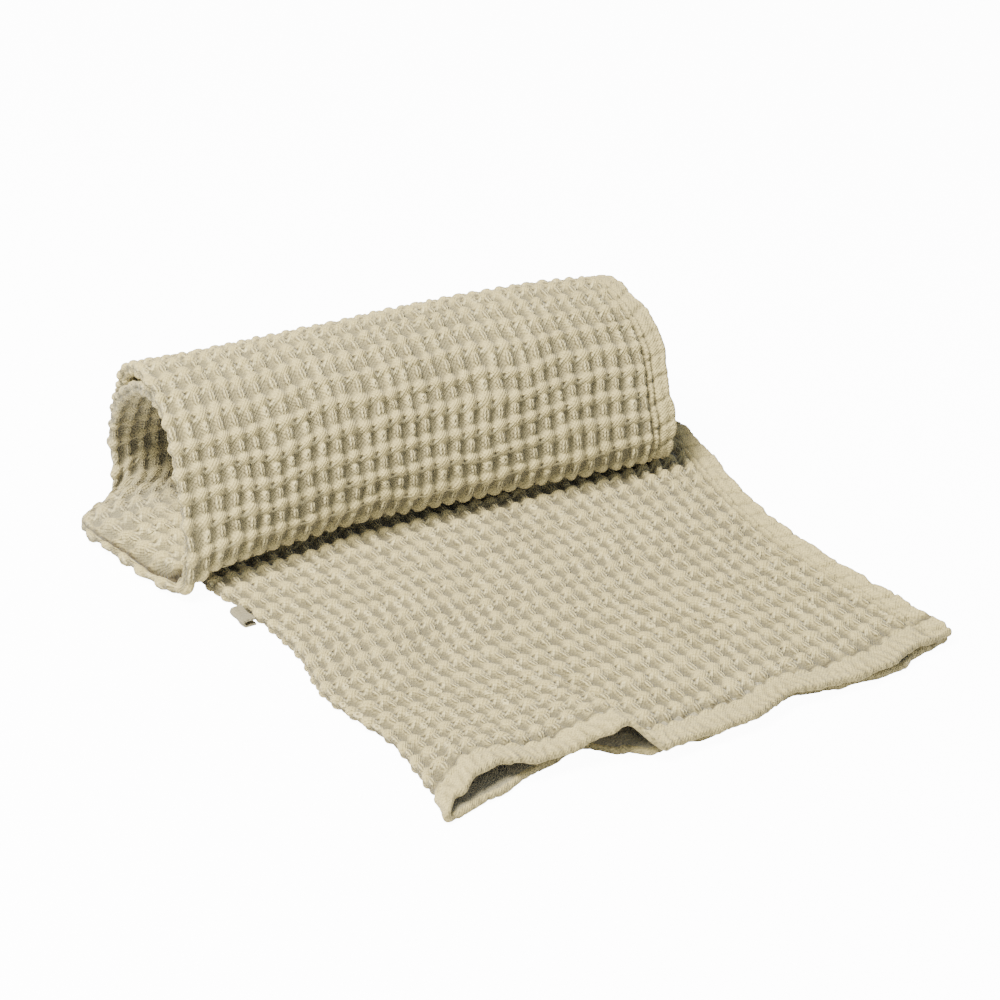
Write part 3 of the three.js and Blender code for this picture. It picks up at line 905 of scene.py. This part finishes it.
def cottonMaterial():
    material = bpy.data.materials.new("honeycombCotton")
    material.use_nodes = True
    shader = material.node_tree.nodes["Principled BSDF"]
    g = Graph(material.node_tree)
    look = cottonLook
    cells = g.put("ShaderNodeUVMap", uv_map="cells").outputs[0]
    hem = g.mark("hemBand")
    inside = g.math("SUBTRACT", 1.0, hem, clamp=True)
    weaveNode = g.group(plainWeave, Cells=cells, Fuzz=0.5)
    threads = g.group(honeycombThreads, Cells=cells)
    floats = g.math("MULTIPLY", threads.outputs["Floats"], inside)
    slits = g.math("MULTIPLY", threads.outputs["Slits"], inside)
    tips = g.math("MULTIPLY", threads.outputs["Tips"], inside)
    notches = g.math("MULTIPLY", threads.outputs["Notches"], inside)
    # rim stitch dents: real bumps, also darkened with the notch colour as painted shadow
    across, along = g.apart(cells)
    frontDent = g.group(rimStitches, Along=across, Turns=look["frontStitches"],
                        Near=g.mark("frontRim")).outputs[0]
    sideDent = g.group(rimStitches, Along=along, Turns=look["sideStitches"],
                       Near=g.mark("sideRim")).outputs[0]
    sideDent = g.math("MULTIPLY", sideDent, look["sideDents"])
    dents = g.math("ADD", frontDent, sideDent, clamp=True)
    # the colour, from the pits up to the thread tips and into the creases: painted shade in the
    # pits and hidden places, painted shadow in slits, notches, dents and creases, painted
    # highlights on floats and tips
    colour = g.blend("MIX", g.mark("heightShade"), look["pitShadeColour"], look["knobColour"])
    for share, strength, top in (
        (floats, "floats", "threadHighlightColour"),
        (slits, "slits", "paintedShadowColour"),
        (notches, "notches", "paintedShadowColour"),
        (tips, "tips", "threadHighlightColour"),
        (dents, "dents", "paintedShadowColour"),
        (g.mark("creaseShade"), "creases", "paintedShadowColour"),
        (g.mark("hiddenShade"), "hiddenShade", "hiddenShadeColour"),
    ):
        share = g.math("MULTIPLY", share, look[strength])
        colour = g.blend("MIX", share, colour, look[top])
    patches = g.noise(g.objectPlace(), look["patchScale"])
    patchTone, threadTone = look["patchTone"], look["threadTone"]
    tone = g.math("MULTIPLY_ADD", patches, patchTone, 1 - patchTone / 2)
    shade = weaveNode.outputs["Shade"]
    shade = g.math("MULTIPLY_ADD", shade, threadTone, 1 - threadTone / 2)
    tone = g.math("MULTIPLY", tone, shade)
    colour = g.blend("MULTIPLY", 1.0, colour, g.grey(tone))
    bounced = g.put("ShaderNodeLightPath").outputs["Is Diffuse Ray"]
    colour = g.blend("MIX", bounced, colour, look["bounceColour"])
    g.join(colour, shader.inputs["Base Color"])
    # the thread relief that is too fine for the mesh
    height = g.math("MULTIPLY_ADD", hem, look["hemBump"], look["weaveBump"])
    height = g.math("MULTIPLY", weaveNode.outputs["Height"], height)
    for share, strength in (
        (floats, look["threadBump"]),
        (tips, look["threadBump"]),
        (notches, -look["threadBump"]),
        (dents, -look["dentBump"]),
    ):
        height = g.math("MULTIPLY_ADD", share, strength, height)
    g.bump(height, look["bumpDepth"], shader)
    shader.inputs["Roughness"].default_value = look["roughness"]
    shader.inputs["Sheen Weight"].default_value = look["sheen"]
    shader.inputs["Specular IOR Level"].default_value = look["specular"]
    return material


cotton = cottonMaterial()
print("cotton material", len(cotton.node_tree.nodes), "nodes")
for name, settings in sheets.items():
    piece = honeycombSheet(name, settings)
    piece.data.materials.append(cotton)
    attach(piece, "root")
    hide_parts("towel_cloth")

# The hanging loop: a narrow tape doubled back on itself, sewn on beside the fold
tape = {
    "front": 217.5,
    "width": 17.5,
    "reach": 3.8,             # out from the cloth
    "thickness": 1.3,
    "inside": 2.3,
    "gap": -3.5,              # its ends go into the cloth
    "lean": 0.8,              # how far its front end sags out
    "crush": 0.10,            # unevenly pressed along its width
    "colour": (0.44, 0.38, 0.22, 1),
    "ribsAcross": 9.0,
    "ribsAlong": 22.0,
    "ribTone": 1.1,
    "ribDepth": 0.0005,
    "roughness": 0.9,
    "sheen": 0.15,
}


def tapeLoop():
    radius = (tape["inside"] + tape["thickness"]) / 2
    level = radius + tape["thickness"] / 2 + 0.2
    turn = np.linspace(-math.pi / 2, math.pi / 2, 15)
    lead = np.linspace(0, 1, 8)[:-1]
    bend = tape["reach"] - radius
    out = np.concatenate([tape["gap"] + (bend - tape["gap"]) * lead, bend + radius * np.cos(turn),
                          (bend + (tape["gap"] - bend) * (1 - lead))[::-1]])
    high = np.concatenate([0 * lead - radius, radius * np.sin(turn), 0 * lead + radius]) + level
    stepOut, stepHigh = np.gradient(out), np.gradient(high)
    span = np.hypot(stepOut, stepHigh)
    normalOut, normalHigh = stepHigh / span, -stepOut / span
    half = tape["thickness"] / 2
    # round the tape's section: outer face, then the inner face on the way back
    around = np.concatenate([np.arange(len(out)), np.arange(len(out))[::-1], [0]])
    off = np.concatenate([np.full(len(out), half), np.full(len(out), -half), [half]])
    along = np.linspace(0, 1, 22)
    along = np.concatenate([[0], along, [1]])
    shut = np.ones(len(along))
    shut[[0, -1]] = 0                             # both end faces close on the tape's middle
    y = tape["front"] + tape["width"] * along
    sag = tape["lean"] * (1 - smooth(along * 1.4)) + 0.3 * np.sin(along * 9)
    crush = 1 + tape["crush"] * np.sin(along * 7 + 1)
    places = windings[: cloth["heelRow"]][:, [0, 2]]
    edge = eased(places, 1, y) - foldRadius
    points = np.zeros((len(along), len(around), 3))
    wayOut = out[around] + normalOut[around] * off * shut[:, None]
    points[..., 0] = edge[:, None] - wayOut * (1 + sag[:, None] / tape["reach"] * (wayOut > 0))
    points[..., 1] = y[:, None]
    points[..., 2] = (high[around] + normalHigh[around] * off * shut[:, None]) * crush[:, None]
    length = np.concatenate([[0], np.cumsum(span)[1:]])[around]
    cells = np.stack(np.broadcast_arrays(length[None, :] / 10, y[:, None] / 10), axis=-1)
    piece = makeMesh("tapeLoop", points, cells, {})
    print("tapeLoop", len(piece.data.polygons) * 2, "triangles")
    return piece


def tapeMaterial():
    material = bpy.data.materials.new("cottonTape")
    material.use_nodes = True
    shader = material.node_tree.nodes["Principled BSDF"]
    g = Graph(material.node_tree)
    cells = g.put("ShaderNodeUVMap", uv_map="cells").outputs[0]
    ribs = {"Threads Across": tape["ribsAcross"], "Threads Along": tape["ribsAlong"]}
    threads = g.group(plainWeave, Cells=cells, Fuzz=0.35, **ribs)
    ribTone = tape["ribTone"]
    tone = g.math("MULTIPLY_ADD", threads.outputs["Shade"], ribTone, 1 - ribTone / 2)
    g.join(g.blend("MULTIPLY", 1.0, tape["colour"], g.grey(tone)), shader.inputs["Base Color"])
    g.bump(threads.outputs["Height"], tape["ribDepth"], shader)
    shader.inputs["Roughness"].default_value = tape["roughness"]
    shader.inputs["Sheen Weight"].default_value = tape["sheen"]
    return material


hangingLoop = tapeLoop()
hangingLoop.data.materials.append(tapeMaterial())
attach(hangingLoop, "root")
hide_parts("hanging_loop")

# Floor, light and camera
studio = {
    "floorColour": (0.9, 0.9, 0.9, 1),
    "floorGlow": 12.0,        # towards the camera only, so that the paper looks white
    "ambient": 0.31,
    "ambientColour": (0.81, 0.94, 1.19, 1),
    "lampColour": (1.0, 0.98, 0.93),
    "lampPlace": (-0.80, -0.02, 1.75),
    "lampSize": 0.9,
    "lampPower": 83,
    "cameraPlace": (-0.7560, -1.3095, 0.9136),
    "cameraElevation": 29.8,
    "cameraAzimuth": 30.4,
    "lens": 102.5,
}
bpy.ops.mesh.primitive_plane_add(size=16, location=(0, 0, -0.0005))
surface = bpy.context.object
surface.name = "surface"
pale = bpy.data.materials.new("paleFloor")
pale.use_nodes = True
floorGraph = Graph(pale.node_tree)
floorShader = pale.node_tree.nodes["Principled BSDF"]
floorShader.inputs["Base Color"].default_value = studio["floorColour"]
floorShader.inputs["Roughness"].default_value = 0.9
floorShader.inputs["Emission Color"].default_value = (1, 1, 1, 1)
seen = floorGraph.put("ShaderNodeLightPath").outputs["Is Camera Ray"]
glow = floorGraph.math("MULTIPLY", seen, studio["floorGlow"])
floorGraph.join(glow, floorShader.inputs["Emission Strength"])
surface.data.materials.append(pale)

world = bpy.data.worlds.new("studio")
bpy.context.scene.world = world
world.use_nodes = True
background = world.node_tree.nodes["Background"]
background.inputs["Color"].default_value = studio["ambientColour"]
background.inputs["Strength"].default_value = studio["ambient"]

lampData = bpy.data.lights.new("overhead", "AREA")
lampData.size = studio["lampSize"]
lampData.energy = studio["lampPower"]
lampData.color = studio["lampColour"]
lamp = bpy.data.objects.new("overhead", lampData)
lamp.location = studio["lampPlace"]
lamp.rotation_euler = (-Vector(studio["lampPlace"])).to_track_quat("-Z", "Y").to_euler()
bpy.context.scene.collection.objects.link(lamp)

camera = bpy.data.objects.new("camera", bpy.data.cameras.new("camera"))
camera.data.lens = studio["lens"]
camera.data.sensor_width = 36
camera.data.clip_end = 50
camera.location = studio["cameraPlace"]
tilt = math.radians(90 - studio["cameraElevation"])
camera.rotation_euler = (tilt, 0, -math.radians(studio["cameraAzimuth"]))
bpy.context.scene.collection.objects.link(camera)
bpy.context.scene.camera = camera

print("floor, lamp and camera in place")
